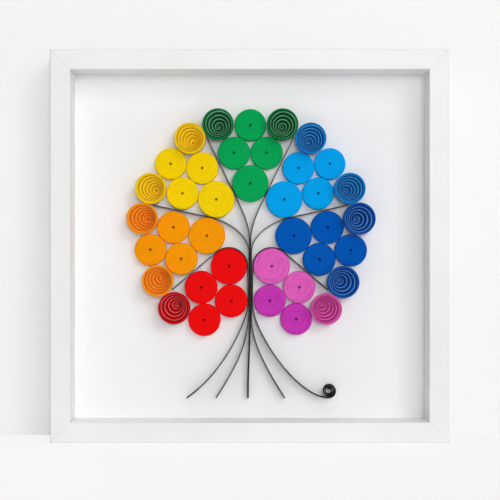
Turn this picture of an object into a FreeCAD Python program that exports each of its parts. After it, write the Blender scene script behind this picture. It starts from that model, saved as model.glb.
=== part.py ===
import FreeCAD, Part
import math
import os

# A tree of rolled paper coils and paper strips on edge, glued to a card in a deep white box frame.
# Millimetres. X runs to the right, Y to the back and Z up. The frame stands on its bottom rail,
# and the origin is at the middle of its underside.

# Paper
paper_width = 6.0
glue_gap = 0.1

# Rolled coils: those in the middle of a cluster, how much more paper the one at its tip has, and
# how much tighter the flat coil and the cups of its outer row are
coil_diameter = 20.7
tip_more = 2.7
outer_row_less = 0.4
cup_less = 0.7
eye_diameter = 1.8
turn_pitch = 1.45
turn_groove_width = 0.3
turn_groove_depth = 0.22
shoulder_width = 0.7
shoulder_drop = 0.45

# How much wider than that the coils of a colour are, apart from its tip coil
extra_diameter = {
    "green": 0.1, "yellow": -0.2, "sky": -0.2, "orange": 0.0, "blue": 0.4, "red": 0.4, "pink": 0.0,
}

# Cups are coils pushed out into a stepped cone, with the wide rim to the front
cup_turns = 7
cup_turn_rise = 0.85
cup_core_diameter = 4.0
cup_turn_lap = 0.12

# How far the bottom of a cup leans towards the middle of the tree, by colour
cup_lean = {
    "green": 1.8, "yellow": 3.5, "sky": 3.0, "orange": 3.6, "blue": 2.4, "red": 2.4, "pink": 4.0,
}

# Dark strips on edge: branches, trunk and roots
strip_thickness = 0.5
lane_gap = 0.05
branch_end_gap = 0.35
branch_hold = 0.36
top_join_rise = 15.0
middle_join_rise = 8.5
root_clearance = 0.2
root_drop = 84.6

# Roots, from the trunk to the tip: sideways reach, handle at the trunk, handle at the tip, and
# the fall of the tip below the horizontal in degrees
far_left_reach = 40.8
far_left_trunk_handle = 9.0
far_left_tip_handle = 32.0
far_left_fall = 35.0
left_reach = 22.0
left_trunk_handle = 25.0
left_tip_handle = 27.0
left_fall = 57.0
centre_reach = 1.5
centre_handle = 24.0
right_reach = 22.2
right_trunk_handle = 14.0
right_tip_handle = 44.0
right_fall = 57.0
far_right_reach = 50.5
far_right_trunk_handle = 18.0
far_right_tip_handle = 20.0

# Scroll at the end of the far right root
scroll_diameter = 9.4
scroll_eye_diameter = 2.4
scroll_turns = 2.6

# Clear card round the tree, out to the frame, and how far right of its middle the tree stands
tree_shift = 0.4
side_margin = 32.7
top_margin = 22.9
bottom_margin = 12.9

# Box frame moulding
face_width = 12.6
recess_depth = 25.0
rebate_width = 4.5
edge_radius = 0.8
back_lip = 2.8

# What closes the back
card_thickness = 1.2
panel_thickness = 2.5
panel_clearance = 0.5

# Steel points that hold the panel, two in each rail
point_thickness = 0.5
point_width = 7.0
point_length = 15.0
point_grip = 5.5
point_taper = 2.0
point_spacing = 110.0

# Steel V nails across the mitres, pressed in from the back
v_nail_length = 12.0
v_nail_leg = 3.4
v_nail_thickness = 0.5
v_nail_inset = 2.6

# Saw-tooth hanger and its nails, on the back of the top rail
hanger_length = 45.0
hanger_height = 6.6
hanger_thickness = 0.8
hanger_lift = 1.6
hanger_foot = 9.0
hanger_ramp = 2.5
hanger_tooth_pitch = 2.2
hanger_tooth_depth = 1.4
hanger_nail_inset = 4.5
hanger_nail_diameter = 1.3
hanger_nail_head = 3.2
hanger_nail_head_thickness = 0.7
hanger_nail_length = 9.0

# Worked-out sizes
lane_pitch = strip_thickness + lane_gap
trunk_width = 6 * strip_thickness + 5 * lane_gap
half_strip = strip_thickness / 2
tip_radius = (coil_diameter + tip_more) / 2
hug_radius = tip_radius + glue_gap + half_strip
back_stand = max(hanger_lift + hanger_thickness, hanger_thickness + hanger_nail_head_thickness)
frame_depth = recess_depth + card_thickness + panel_thickness + point_thickness + back_lip
front_y = -(frame_depth + back_stand) / 2
card_y = front_y + recess_depth
panel_y = card_y + card_thickness
point_y = panel_y + panel_thickness
back_y = front_y + frame_depth


def polar(centre, radius, angle):
    return (centre[0] + radius * math.cos(angle), centre[1] + radius * math.sin(angle))


def apart(a, b):
    return math.hypot(a[0] - b[0], a[1] - b[1])


def between(a, b, share=0.5):
    return (a[0] + share * (b[0] - a[0]), a[1] + share * (b[1] - a[1]))


def unit(a, b):
    size = apart(a, b)
    return ((b[0] - a[0]) / size, (b[1] - a[1]) / size)


def mirrored(point):
    return (-point[0], point[1])


def root_of(function, low, high):
    rising = function(high) > function(low)
    for _ in range(60):
        middle = (low + high) / 2
        if (function(middle) > 0) == rising:
            high = middle
        else:
            low = middle
    return (low + high) / 2


# Places of the coils. A cluster is a triangle of coils that touch, pointing along its heading.

def cluster(tip, heading, colour):
    inner_radius = (coil_diameter + extra_diameter[colour]) / 2
    outer_radius = inner_radius - outer_row_less / 2
    cup_radius = inner_radius - cup_less / 2
    side = tip_radius + inner_radius + glue_gap
    spread = math.asin((inner_radius + glue_gap / 2) / side)
    inner_a = polar(tip, side, heading + spread)
    inner_b = polar(tip, side, heading - spread)
    outer_side = inner_radius + outer_radius + glue_gap
    outer_rise = math.sqrt(outer_side ** 2 - (apart(inner_a, inner_b) / 2) ** 2)
    outer = polar(between(inner_a, inner_b), outer_rise, heading)
    row = heading + math.pi / 2
    beside_outer = outer_radius + cup_radius + glue_gap
    beside_inner = past(outer, inner_a, row, inner_radius + cup_radius + glue_gap)
    cup_step = max(beside_outer, beside_inner)
    return {
        "tip": (tip, tip_radius),
        "inner_a": (inner_a, inner_radius),
        "inner_b": (inner_b, inner_radius),
        "outer": (outer, outer_radius),
        "cup_a": (polar(outer, cup_step, row), cup_radius),
        "cup_b": (polar(outer, -cup_step, row), cup_radius),
    }


def past(start, other, direction, reach):
    """How far along a direction from the start a point is the given reach past the other."""
    along = (other[0] - start[0]) * math.cos(direction) + (other[1] - start[1]) * math.sin(direction)
    aside = math.sqrt(max(apart(start, other) ** 2 - along ** 2, 0.0))
    if aside >= reach:
        return 0.0
    return along + math.sqrt(reach ** 2 - aside ** 2)


# The tip coils stand on a ring round the point where the branches meet, one strip apart. The
# clusters turn so that the end cups of neighbours touch.
wedge_chord = 2 * hug_radius
right_colours = ("green", "sky", "blue", "pink")
left_colours = ("green", "yellow", "orange", "red")


def notch(a, a_reach, b, b_reach):
    """The point at the given distances from a and b, on the side away from the tree's middle."""
    span = apart(a, b)
    along = (a_reach ** 2 - b_reach ** 2 + span ** 2) / (2 * span)
    aside = math.sqrt(max(a_reach ** 2 - along ** 2, 0.0))
    foot = between(a, b, along / span)
    forward = unit(a, b)
    choices = [
        (foot[0] - side * forward[1] * aside, foot[1] + side * forward[0] * aside)
        for side in (-1, 1)
    ]
    return max(choices, key=lambda point: apart(point, (0.0, 0.0)))


def branch_start(near_cup, far_cup, waist):
    """The outer end of a branch: in the notch between two end cups, clear of both rims."""
    middle = between(near_cup[0], far_cup[0])
    inward = unit(middle, waist)
    direction = math.atan2(inward[1], inward[0])
    back = max(
        past(middle, centre, direction, radius + half_strip + branch_end_gap)
        for centre, radius in (near_cup, far_cup)
    )
    return polar(middle, back, direction)


def lowest_cluster_at(tip, heading, colour, above):
    """The cluster beside the trunk. Its one cup sits against the end cup of the one above."""
    coils = cluster(tip, heading, colour)
    del coils["cup_b"]
    cup_radius = coils["cup_a"][1]
    outer, outer_radius = coils["outer"]
    beside, beside_radius = above["cup_b"]
    cup_reach = beside_radius + cup_radius + glue_gap
    place = notch(outer, outer_radius + cup_radius + glue_gap, beside, cup_reach)
    coils["cup_a"] = (place, cup_radius)
    return coils


def lowest_cluster(tip, bearing, colour, above):
    """The cluster beside the trunk, turned up until it all but touches the branch above it."""
    waist = between(tip, above["tip"][0])

    def branch_room(heading):
        coils = lowest_cluster_at(tip, heading, colour, above)
        start = branch_start(above["cup_b"], coils["cup_a"], waist)
        along = unit(waist, start)
        centre, radius = coils["inner_a"]
        aside = (centre[1] - waist[1]) * along[0] - (centre[0] - waist[0]) * along[1]
        return glue_gap + radius + half_strip - abs(aside)

    heading = root_of(branch_room, bearing - 0.6, bearing + 0.3)
    return lowest_cluster_at(tip, heading, colour, above)


def half_crown(ring_radius, colours):
    """The clusters from the top round to the lowest one, on the right-hand side."""
    step = 2 * math.asin(wedge_chord / 2 / ring_radius)
    bearing = math.pi / 2
    clusters = [cluster(polar((0, 0), ring_radius, bearing), bearing, colours[0])]
    for colour in colours[1:3]:
        bearing -= step
        tip = polar((0, 0), ring_radius, bearing)
        beside, beside_radius = clusters[-1]["cup_b"]

        def cups_clear(heading, tip=tip, beside=beside, beside_radius=beside_radius, colour=colour):
            near, near_radius = cluster(tip, heading, colour)["cup_a"]
            return apart(near, beside) - near_radius - beside_radius - glue_gap

        heading = root_of(cups_clear, bearing - 0.6, bearing + 0.5)
        clusters.append(cluster(tip, heading, colour))
    bearing -= step
    tip = polar((0, 0), ring_radius, bearing)
    clusters.append(lowest_cluster(tip, bearing, colours[3], clusters[-1]))
    return clusters


def trunk_room(ring_radius, colours):
    """Room between the trunk and the coil of the lowest cluster that comes nearest to it."""
    lowest = half_crown(ring_radius, colours)[-1]
    nearest = min(centre[0] - radius for centre, radius in lowest.values())
    return nearest - trunk_width / 2 - glue_gap


def ring_for(colours):
    return root_of(lambda radius: trunk_room(radius, colours), wedge_chord * 0.95, wedge_chord * 1.6)


ring_radius = max(ring_for(right_colours), ring_for(left_colours))


def mirror_cluster(coils):
    return {name: (mirrored(centre), radius) for name, (centre, radius) in coils.items()}


# Both halves are worked out on the right, and the left one is then mirrored.
right_half = half_crown(ring_radius, right_colours)
left_half = half_crown(ring_radius, left_colours)
crown = dict(zip(right_colours, right_half))
for colour, coils in zip(left_colours[1:], left_half[1:]):
    crown[colour] = mirror_cluster(coils)

# Routes of the strips, as points on their middle lines. Every stretch has an even number of
# points, because a strip is drawn with one arc or line through each three.
route_step = 1.5
scroll_points_per_turn = 20


def even_count(size):
    return 2 * max(3, math.ceil(size / route_step / 2))


def straight(a, b):
    return [a, between(a, b)]


def bend(a, a_handle, b_handle, b):
    count = even_count(apart(a, b))
    points = []
    for i in range(count):
        t = i / count
        u = 1 - t
        weights = (u ** 3, 3 * u * u * t, 3 * u * t * t, t ** 3)
        knots = (a, a_handle, b_handle, b)
        points.append(tuple(sum(w * k[axis] for w, k in zip(weights, knots)) for axis in (0, 1)))
    return points


def arc(centre, radius, start, end):
    count = even_count(abs(end - start) * radius)
    return [polar(centre, radius, start + (end - start) * i / count) for i in range(count)]


lowest_tip = right_half[-1]["tip"][0]


def branch(first, second, lane, join_rise):
    """A branch on the right, from the crown's edge to the top of its trunk lane."""
    waist = between(first["tip"][0], second["tip"][0])
    start = branch_start(first["cup_b"], second["cup_a"], waist)
    across = unit(second["tip"][0], first["tip"][0])
    inward = (-across[1], across[0])
    joint = (lane * lane_pitch, lowest_tip[1] + join_rise)
    hold = branch_hold * apart(waist, joint)
    waist_handle = (waist[0] + inward[0] * hold, waist[1] + inward[1] * hold)
    joint_handle = (joint[0], joint[1] + hold)
    return straight(start, waist) + bend(waist, waist_handle, joint_handle, joint) + [joint]


def hugging_branch(first, second, lane):
    """The lowest branch on the right, which goes round the tip coil below it to its lane."""
    centre = second["tip"][0]
    waist = between(first["tip"][0], centre)
    start = branch_start(first["cup_b"], second["cup_a"], waist)
    begin = math.atan2(waist[1] - centre[1], waist[0] - centre[0])
    bearing = math.atan2(start[1] - centre[1], start[0] - centre[0])
    begin = min(begin, bearing + math.acos(min(1.0, hug_radius / apart(start, centre))))
    touch = polar(centre, hug_radius, begin)
    lane_x = lane * lane_pitch
    end = math.acos(max(-1.0, (lane_x - centre[0]) / hug_radius))
    joint = polar(centre, hug_radius, end)
    return straight(start, touch) + arc(centre, hug_radius, begin, end) + [joint]


def half_branches(half):
    green, second, third, lowest = half
    return {
        "top": branch(green, second, 0.5, top_join_rise),
        "middle": branch(second, third, 1.5, middle_join_rise),
        "low": hugging_branch(third, lowest, 2.5),
    }


def root(lane_x, fan_height, tip, handles, heading):
    """A root from its trunk lane to its tip."""
    fan = (lane_x, fan_height)
    start_handle = (fan[0], fan[1] - handles[0])
    end_handle = (tip[0] - handles[1] * heading[0], tip[1] - handles[1] * heading[1])
    return bend(fan, start_handle, end_handle, tip)


def falling(side, fall):
    angle = math.radians(fall)
    return (side * math.cos(angle), -math.sin(angle))


def scroll_points(tip_height):
    """Turns of the scroll from its outside at the bottom, anticlockwise and inwards."""
    outer = scroll_diameter / 2 - half_strip
    inner = scroll_eye_diameter / 2 + half_strip
    centre = (far_right_reach, tip_height + scroll_diameter / 2)
    sweep = 2 * math.pi * scroll_turns
    count = 2 * math.ceil(scroll_turns * scroll_points_per_turn / 2)
    points = []
    for i in range(count + 1):
        share = i / count
        points.append(polar(centre, outer + (inner - outer) * share, sweep * share - math.pi / 2))
    slope = (outer - inner) / sweep
    heading = unit((0.0, 0.0), (outer, slope))
    return points, heading


def roots_from(fan_height):
    """The six roots when they leave the trunk at the given height."""
    tip_height = lowest_tip[1] - root_drop
    scroll, scroll_heading = scroll_points(tip_height)
    centre_handles = (centre_handle, centre_handle)
    down = (0.0, -1.0)
    ends = {
        "strip_left_low": (
            -2.5, -far_left_reach, (far_left_trunk_handle, far_left_tip_handle),
            falling(-1, far_left_fall)),
        "strip_left_middle": (
            -1.5, -left_reach, (left_trunk_handle, left_tip_handle), falling(-1, left_fall)),
        "strip_left_top": (-0.5, -centre_reach - lane_pitch / 2, centre_handles, down),
        "strip_right_top": (0.5, -centre_reach + lane_pitch / 2, centre_handles, down),
        "strip_right_middle": (
            1.5, right_reach, (right_trunk_handle, right_tip_handle), falling(1, right_fall)),
    }
    roots = {}
    for name, (lane, reach, handles, heading) in ends.items():
        tip = (reach, tip_height)
        roots[name] = root(lane * lane_pitch, fan_height, tip, handles, heading) + [tip]
    far_right_handles = (far_right_trunk_handle, far_right_tip_handle)
    roots["strip_right_low"] = root(
        2.5 * lane_pitch, fan_height, scroll[0], far_right_handles, scroll_heading) + scroll
    return roots


def room_beside_roots(fan_height):
    """Clear space between the far roots and the coils that hang beside the trunk."""
    roots = roots_from(fan_height)
    left_coils = [(mirrored(centre), radius) for centre, radius in left_half[-1].values()]
    beside = {"strip_left_low": left_coils, "strip_right_low": list(right_half[-1].values())}
    return min(
        apart(point, centre) - radius - half_strip
        for name, coils in beside.items()
        for centre, radius in coils[1:]
        for point in roots[name]
    )


def strip_routes():
    right = half_branches(right_half)
    left = half_branches(left_half)
    coil_bottom = min(centre[1] - radius for centre, radius in right_half[-1].values())
    fan_height = root_of(
        lambda height: root_clearance - room_beside_roots(height), coil_bottom, lowest_tip[1])
    lane_top = max(half[-1]["inner_b"][0][1] for half in (left_half, right_half))
    routes = {}
    for name, points in roots_from(fan_height).items():
        side, place = name.split("_")[1:]
        branch_points = right[place] if side == "right" else [mirrored(p) for p in left[place]]
        joint = branch_points[-1]
        lane = (points[0][0], max(lane_top, fan_height))
        halfway = (joint[1] + lane[1]) / 2
        into_lane = bend(joint, (joint[0], halfway), (lane[0], halfway), lane)
        if abs(joint[0] - lane[0]) < 0.001:
            into_lane = straight(joint, lane)
        down_lane = straight(lane, points[0]) if lane_top > fan_height else []
        routes[name] = branch_points[:-1] + into_lane + down_lane + points
    return routes


routes = strip_routes()

# The tree's outline settles the frame's opening.
coil_list = [coil for coils in crown.values() for coil in coils.values()]
crown_half_width = max(abs(centre[0]) + radius for centre, radius in coil_list)
crown_top = max(centre[1] + radius for centre, radius in coil_list)
strip_half_width = max(abs(x) for points in routes.values() for x, _ in points) + half_strip
tree_bottom = min(z for points in routes.values() for _, z in points) - half_strip
opening_width = 2 * (max(crown_half_width, strip_half_width) + side_margin)
opening_height = crown_top - tree_bottom + top_margin + bottom_margin
frame_width = opening_width + 2 * face_width
frame_height = opening_height + 2 * face_width
ring_z = face_width + bottom_margin - tree_bottom


def at(point, y):
    """A point of the tree's plane as a place in space."""
    return FreeCAD.Vector(point[0] + tree_shift, y, point[1] + ring_z)


def prism(outline, y, depth):
    """Solid over an outline of (x, z) points, from y towards the back."""
    points = [FreeCAD.Vector(x, y, z) for x, z in outline]
    face = Part.Face(Part.makePolygon(points + points[:1]))
    return face.extrude(FreeCAD.Vector(0, depth, 0))


FORWARD = FreeCAD.Vector(0, -1, 0)


def flat_coil(centre, radius):
    """A coil rolled tight: eye, rounded shoulder, and fine grooves between its turns."""
    eye = eye_diameter / 2
    pitch = turn_pitch
    count = int((radius - shoulder_width - eye) / pitch)
    outline = [(eye, 0.0), (radius, 0.0), (radius, paper_width - shoulder_drop),
               (radius - shoulder_width, paper_width)]
    for i in range(count):
        groove = radius - shoulder_width - turn_groove_width - i * pitch
        if groove - turn_groove_width / 2 > eye + turn_groove_width:
            outline.append((groove + turn_groove_width / 2, paper_width))
            outline.append((groove, paper_width - turn_groove_depth))
            outline.append((groove - turn_groove_width / 2, paper_width))
    outline.append((eye + turn_groove_width, paper_width))
    outline.append((eye, paper_width - turn_groove_depth))
    base = at(centre, card_y)
    points = [base + FreeCAD.Vector(r, -h, 0) for r, h in outline]
    face = Part.Face(Part.makePolygon(points + points[:1]))
    return face.revolve(base, FORWARD, 360)


def ring(centre, outer, inner, height):
    """A turn of paper whose back edge is the given height in front of the card."""
    base = at(centre, card_y - height)
    wall = Part.makeCylinder(outer, paper_width, base, FORWARD)
    return wall.cut(Part.makeCylinder(inner, paper_width, base, FORWARD))


def cup(centre, radius, lean):
    """A coil pushed out to a leaning stepped cone that stands on its middle turns."""
    to_middle = unit(centre, (0.0, 0.0))
    shift = lean / cup_turns
    core = cup_core_diameter / 2
    pitch = (radius - core) / cup_turns
    width = pitch + shift + cup_turn_lap
    turns = []
    for i in range(cup_turns):
        middle = (centre[0] + to_middle[0] * shift * i, centre[1] + to_middle[1] * shift * i)
        outer = radius - pitch * i
        turns.append(ring(middle, outer, outer - width, cup_turn_rise * (cup_turns - i)))
    foot = (centre[0] + to_middle[0] * lean, centre[1] + to_middle[1] * lean)
    turns.append(ring(foot, core, eye_diameter / 2, 0.0))
    return turns[0].fuse(turns[1:]).removeSplitter()


def strip(points):
    """A strip of paper on edge along its middle line."""
    left = []
    right = []
    for i, point in enumerate(points):
        before = points[max(i - 1, 0)]
        after = points[min(i + 1, len(points) - 1)]
        along = unit(before, after)
        left.append(at((point[0] - along[1] * half_strip, point[1] + along[0] * half_strip), card_y))
        right.append(at((point[0] + along[1] * half_strip, point[1] - along[0] * half_strip), card_y))
    edges = [Part.makeLine(left[0], right[0]), Part.makeLine(left[-1], right[-1])]
    for side in (left, right):
        for i in range(0, len(side) - 2, 2):
            edges.append(arc_or_line(*side[i:i + 3]))
    face = Part.Face(Part.Wire(Part.__sortEdges__(edges)))
    return face.extrude(FORWARD * paper_width)


def arc_or_line(start, middle, end):
    """An arc through three points, or a line where they all but lie on one."""
    along = (end - start).normalize()
    if (middle - start).cross(along).Length < 0.001:
        return Part.makeLine(start, end)
    return Part.Arc(start, middle, end).toShape()


def rounded(corner, towards_a, towards_b, radius):
    """Three points of a round corner in the moulding's section: start, middle and end."""
    start = (corner[0] + towards_a[0] * radius, corner[1] + towards_a[1] * radius)
    end = (corner[0] + towards_b[0] * radius, corner[1] + towards_b[1] * radius)
    pull = radius * (1 - math.sqrt(0.5))
    middle = (corner[0] + (towards_a[0] + towards_b[0]) * pull,
              corner[1] + (towards_a[1] + towards_b[1]) * pull)
    return start, middle, end


def rail(start, end, inward):
    """A length of moulding from one outer corner to the next, mitred at both ends."""
    along = unit(start, end)

    def place(u, y):
        return FreeCAD.Vector(start[0] + inward[0] * u, y, start[1] + inward[1] * u)

    outer_round = rounded((0.0, front_y), (0, 1), (1, 0), edge_radius)
    inner_round = rounded((face_width, front_y), (-1, 0), (0, 1), edge_radius)
    wall = face_width - rebate_width
    corners = [(face_width, card_y), (wall, card_y), (wall, back_y), (0.0, back_y)]
    edges = [
        Part.Arc(*[place(*p) for p in outer_round]).toShape(),
        Part.makeLine(place(*outer_round[2]), place(*inner_round[0])),
        Part.Arc(*[place(*p) for p in inner_round]).toShape(),
    ]
    path = [inner_round[2]] + corners + [outer_round[0]]
    for a, b in zip(path, path[1:]):
        edges.append(Part.makeLine(place(*a), place(*b)))
    section = Part.Face(Part.Wire(edges))
    length = apart(start, end)
    bar = section.extrude(FreeCAD.Vector(along[0], 0, along[1]) * length)
    mitre = [
        start,
        end,
        (end[0] + (inward[0] - along[0]) * face_width, end[1] + (inward[1] - along[1]) * face_width),
        (start[0] + (inward[0] + along[0]) * face_width,
         start[1] + (inward[1] + along[1]) * face_width),
    ]
    return bar.common(prism(mitre, front_y, frame_depth))


half_width = frame_width / 2
corners = {
    "bottom_left": (-half_width, 0.0),
    "bottom_right": (half_width, 0.0),
    "top_right": (half_width, frame_height),
    "top_left": (-half_width, frame_height),
}
sides = {
    "frame_bottom": ("bottom_left", "bottom_right", (0, 1)),
    "frame_right": ("bottom_right", "top_right", (-1, 0)),
    "frame_top": ("top_right", "top_left", (0, -1)),
    "frame_left": ("top_left", "bottom_left", (1, 0)),
}


def back_points():
    """Steel points driven into the rebate's wall, flat against the panel."""
    wall = face_width - rebate_width
    tip = wall - point_grip
    end = tip + point_length
    half = point_width / 2
    outline = [(tip, -half + point_taper), (tip + point_taper, -half), (end, -half),
               (end, half), (tip + point_taper, half), (tip, half - point_taper)]
    points = []
    for start_name, end_name, inward in sides.values():
        start = corners[start_name]
        end_corner = corners[end_name]
        along = unit(start, end_corner)
        middle = between(start, end_corner)
        for place in (-point_spacing / 2, point_spacing / 2):
            plan = [
                (middle[0] + along[0] * (place + v) + inward[0] * u,
                 middle[1] + along[1] * (place + v) + inward[1] * u)
                for u, v in outline
            ]
            points.append(prism(plan, point_y, point_thickness))
    return points


def v_nails():
    """One V nail across each mitre, flush with the back."""
    near = v_nail_inset
    thick = v_nail_thickness
    far = near + v_nail_leg
    plan = [(near, near), (far, near), (far, near + thick), (near + thick, near + thick),
            (near + thick, far), (near, far)]
    nails = []
    for x, z in corners.values():
        inward_x = -math.copysign(1, x)
        inward_z = 1 if z == 0.0 else -1
        outline = [(x + inward_x * u, z + inward_z * v) for u, v in plan]
        nails.append(prism(outline, back_y - v_nail_length, v_nail_length))
    return nails


hanger_z = frame_height - (face_width - rebate_width) / 2


def hanger():
    """A steel strip with nailed feet and a raised middle whose lower edge is toothed."""
    end = hanger_length / 2
    foot = end - hanger_foot
    top = foot - hanger_ramp
    under = [(-end, 0.0), (-foot, 0.0), (-top, hanger_lift), (top, hanger_lift), (foot, 0.0),
             (end, 0.0)]
    over = [(x, y + hanger_thickness) for x, y in reversed(under)]
    base_z = hanger_z - hanger_height / 2
    points = [FreeCAD.Vector(x, back_y + y, base_z) for x, y in under + over]
    plate = Part.Face(Part.makePolygon(points + points[:1])).extrude(
        FreeCAD.Vector(0, 0, hanger_height))
    count = int((2 * top - hanger_tooth_pitch) / hanger_tooth_pitch)
    for i in range(count):
        x = (i - (count - 1) / 2) * hanger_tooth_pitch
        notch = [(x - hanger_tooth_pitch * 0.4, base_z), (x, base_z + hanger_tooth_depth),
                 (x + hanger_tooth_pitch * 0.4, base_z)]
        plate = plate.cut(prism(notch, back_y, hanger_lift + hanger_thickness))
    return plate


def hanger_nails():
    """Two round nails through the hanger's feet into the top rail."""
    nails = []
    for side in (-1, 1):
        x = side * (hanger_length / 2 - hanger_nail_inset)
        head_base = FreeCAD.Vector(x, back_y + hanger_thickness, hanger_z)
        head = Part.makeCylinder(
            hanger_nail_head / 2, hanger_nail_head_thickness, head_base, FreeCAD.Vector(0, 1, 0))
        shank_base = FreeCAD.Vector(x, head_base.y - hanger_nail_length, hanger_z)
        shank = Part.makeCylinder(
            hanger_nail_diameter / 2, hanger_nail_length, shank_base, FreeCAD.Vector(0, 1, 0))
        nails.append(head.fuse(shank).removeSplitter())
    return nails


def sheet(y, thickness):
    """A flat sheet that fills the rebate, less its clearance."""
    grow = rebate_width - panel_clearance
    half = opening_width / 2 + grow
    low = face_width - grow
    high = frame_height - face_width + grow
    return prism([(-half, low), (half, low), (half, high), (-half, high)], y, thickness)


os.makedirs("parts", exist_ok=True)


def write(name, solids):
    shape = solids[0] if len(solids) == 1 else Part.makeCompound(solids)
    shape.exportStep("parts/" + name + ".step")


fasteners = {
    "back_points": back_points(),
    "corner_v_nails": v_nails(),
    "hanger_nails": hanger_nails(),
}
driven = [solid for group in fasteners.values() for solid in group]
for name, (start_name, end_name, inward) in sides.items():
    write(name, [rail(corners[start_name], corners[end_name], inward).cut(driven)])
for name, group in fasteners.items():
    write(name, group)
write("hanger", [hanger().cut(fasteners["hanger_nails"])])
write("backing_card", [sheet(card_y, card_thickness)])
write("back_panel", [sheet(panel_y, panel_thickness)])

for colour, coils in crown.items():
    for place, (centre, radius) in coils.items():
        if place.startswith("cup"):
            write(colour + "_" + place, [cup(centre, radius, cup_lean[colour])])
        else:
            write(colour + "_" + place + "_coil", [flat_coil(centre, radius)])

for name, points in routes.items():
    write(name, [strip(points)])

print("frame", round(frame_width, 2), round(frame_height, 2), round(frame_depth, 2))
print("ring radius", round(ring_radius, 2), "ring height", round(ring_z, 2))
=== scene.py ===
import math
import random

import bmesh
import bpy
from bpy.props import FloatProperty, FloatVectorProperty, IntProperty, PointerProperty
from bpy.types import Operator, Panel, PropertyGroup
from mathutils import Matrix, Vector


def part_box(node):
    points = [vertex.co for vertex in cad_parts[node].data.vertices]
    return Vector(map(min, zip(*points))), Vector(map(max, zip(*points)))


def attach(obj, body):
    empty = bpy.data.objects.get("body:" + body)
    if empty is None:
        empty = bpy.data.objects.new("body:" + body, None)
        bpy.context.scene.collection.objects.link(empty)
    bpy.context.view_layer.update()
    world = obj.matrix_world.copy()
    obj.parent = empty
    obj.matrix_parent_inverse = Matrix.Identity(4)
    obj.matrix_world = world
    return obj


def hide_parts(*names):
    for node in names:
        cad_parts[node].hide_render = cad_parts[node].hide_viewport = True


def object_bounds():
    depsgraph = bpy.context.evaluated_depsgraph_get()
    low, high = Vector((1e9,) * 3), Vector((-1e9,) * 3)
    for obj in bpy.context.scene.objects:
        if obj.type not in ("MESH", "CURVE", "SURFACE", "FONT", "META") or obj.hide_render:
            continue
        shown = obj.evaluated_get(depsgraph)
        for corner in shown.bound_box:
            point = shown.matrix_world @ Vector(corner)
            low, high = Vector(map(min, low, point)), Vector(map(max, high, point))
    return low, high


bl_info = {
    "name": "Quilled Tree In A Box Frame",
    "version": (1, 0, 0),
    "blender": (4, 5, 0),
    "location": "View3D > Sidebar > Quilling",
    "description": "Rolled paper coils, cups, strips and their box frame, with light and camera",
    "category": "Object",
}

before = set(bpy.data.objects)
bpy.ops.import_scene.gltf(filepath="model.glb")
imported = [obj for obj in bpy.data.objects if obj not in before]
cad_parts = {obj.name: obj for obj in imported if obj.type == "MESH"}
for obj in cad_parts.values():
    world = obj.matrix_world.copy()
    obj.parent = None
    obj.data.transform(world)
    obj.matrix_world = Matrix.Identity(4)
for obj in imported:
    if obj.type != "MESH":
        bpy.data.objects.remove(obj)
cad_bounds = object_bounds()

COLOURS = ("green", "yellow", "sky", "orange", "blue", "red", "pink")
RAILS = ("frame_top", "frame_bottom", "frame_left", "frame_right")

COIL_SEED = 11
CUP_SEED = 23
COIL_CREASE = 42.0  # degrees from which an edge of a flat coil stays sharp
CUP_CREASE = 50.0
KNOTS_PER_TURN = 2.5  # random heights along one turn of paper
RING_SHADE_DEPTH = 0.11  # painted shade: how much darker the lines between a coil's turns are, in rings of random tone
PINK_RING_SHADE_DEPTH = 0.24

# A lamp: its name, its angles to the right and up in degrees, its distance and its size
LAMPS = (
    ("key", (28.0, 24.0), 3.4, 1.5),
    ("front", (4.0, 7.0), 3.0, 0.7),
    ("top", (0.0, 76.0), 4.0, 2.4),
    ("side", (76.0, 8.0), 4.0, 2.4),
    ("back", (205.0, 12.0), 3.0, 1.2),
)
FLOOR_GLOW = 0.8  # share of the floor's white that only the camera sees
WALL_GLOW = 0.15
STAGE_REACH = 3  # metres
WALL_GAP = 0.0004
SENSOR_WIDTH = 36.0  # millimetres
CAMERA_SHIFT = (0.0006, -0.008)


def paint(red, green, blue):
    """Linear colour from the usual 0 to 255 values."""
    return tuple(
        v / 255 / 12.92 if v <= 10 else ((v / 255 + 0.055) / 1.055) ** 2.4
        for v in (red, green, blue)
    )


def shade(name, description, default):
    """A colour that the user can change."""
    return FloatVectorProperty(
        name=name, description=description, default=default, subtype="COLOR", size=3, min=0, max=1)


def length(name, description, default):
    """A size in metres that the user can change."""
    return FloatProperty(
        name=name, description=description, default=default, unit="LENGTH", subtype="DISTANCE",
        min=0, precision=5)


def power(name, description, default):
    """A lamp's power that the user can change."""
    return FloatProperty(name=name, description=description, default=default, min=0, unit="POWER")


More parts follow.
